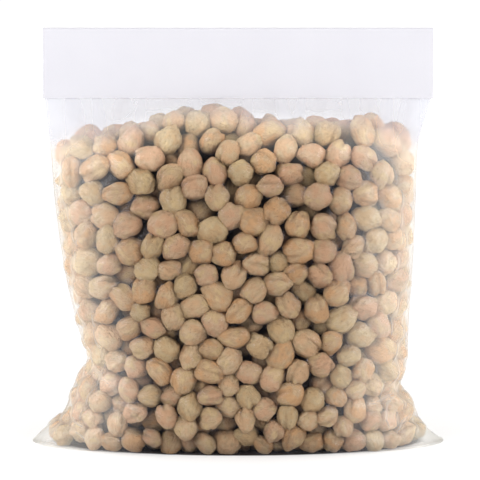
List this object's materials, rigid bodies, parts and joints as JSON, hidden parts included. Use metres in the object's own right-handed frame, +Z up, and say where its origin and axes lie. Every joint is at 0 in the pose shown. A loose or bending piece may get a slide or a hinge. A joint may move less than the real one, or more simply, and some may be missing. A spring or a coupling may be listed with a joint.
{
  "type": "bag of chickpeas",
  "caption": "Clear film bag packed tight with dried chickpeas, standing on its flattened base, closed by a blank folded card header.",
  "frame": {"origin": "on the floor, under the middle of the bag", "axes": "+Z up, +X to the right of someone facing the bag's front, -Y out of the front"},
  "size_m": [0.155, 0.0665, 0.1576],
  "materials": {
    "chickpeas": "dry, wrinkled skin",
    "film": "clear gloss film",
    "card": "smooth uncoated card"
  },
  "bodies": {
    "root": {"filled_bag": "chickpeas", "header_card": "card"}
  },
  "joints": []
}
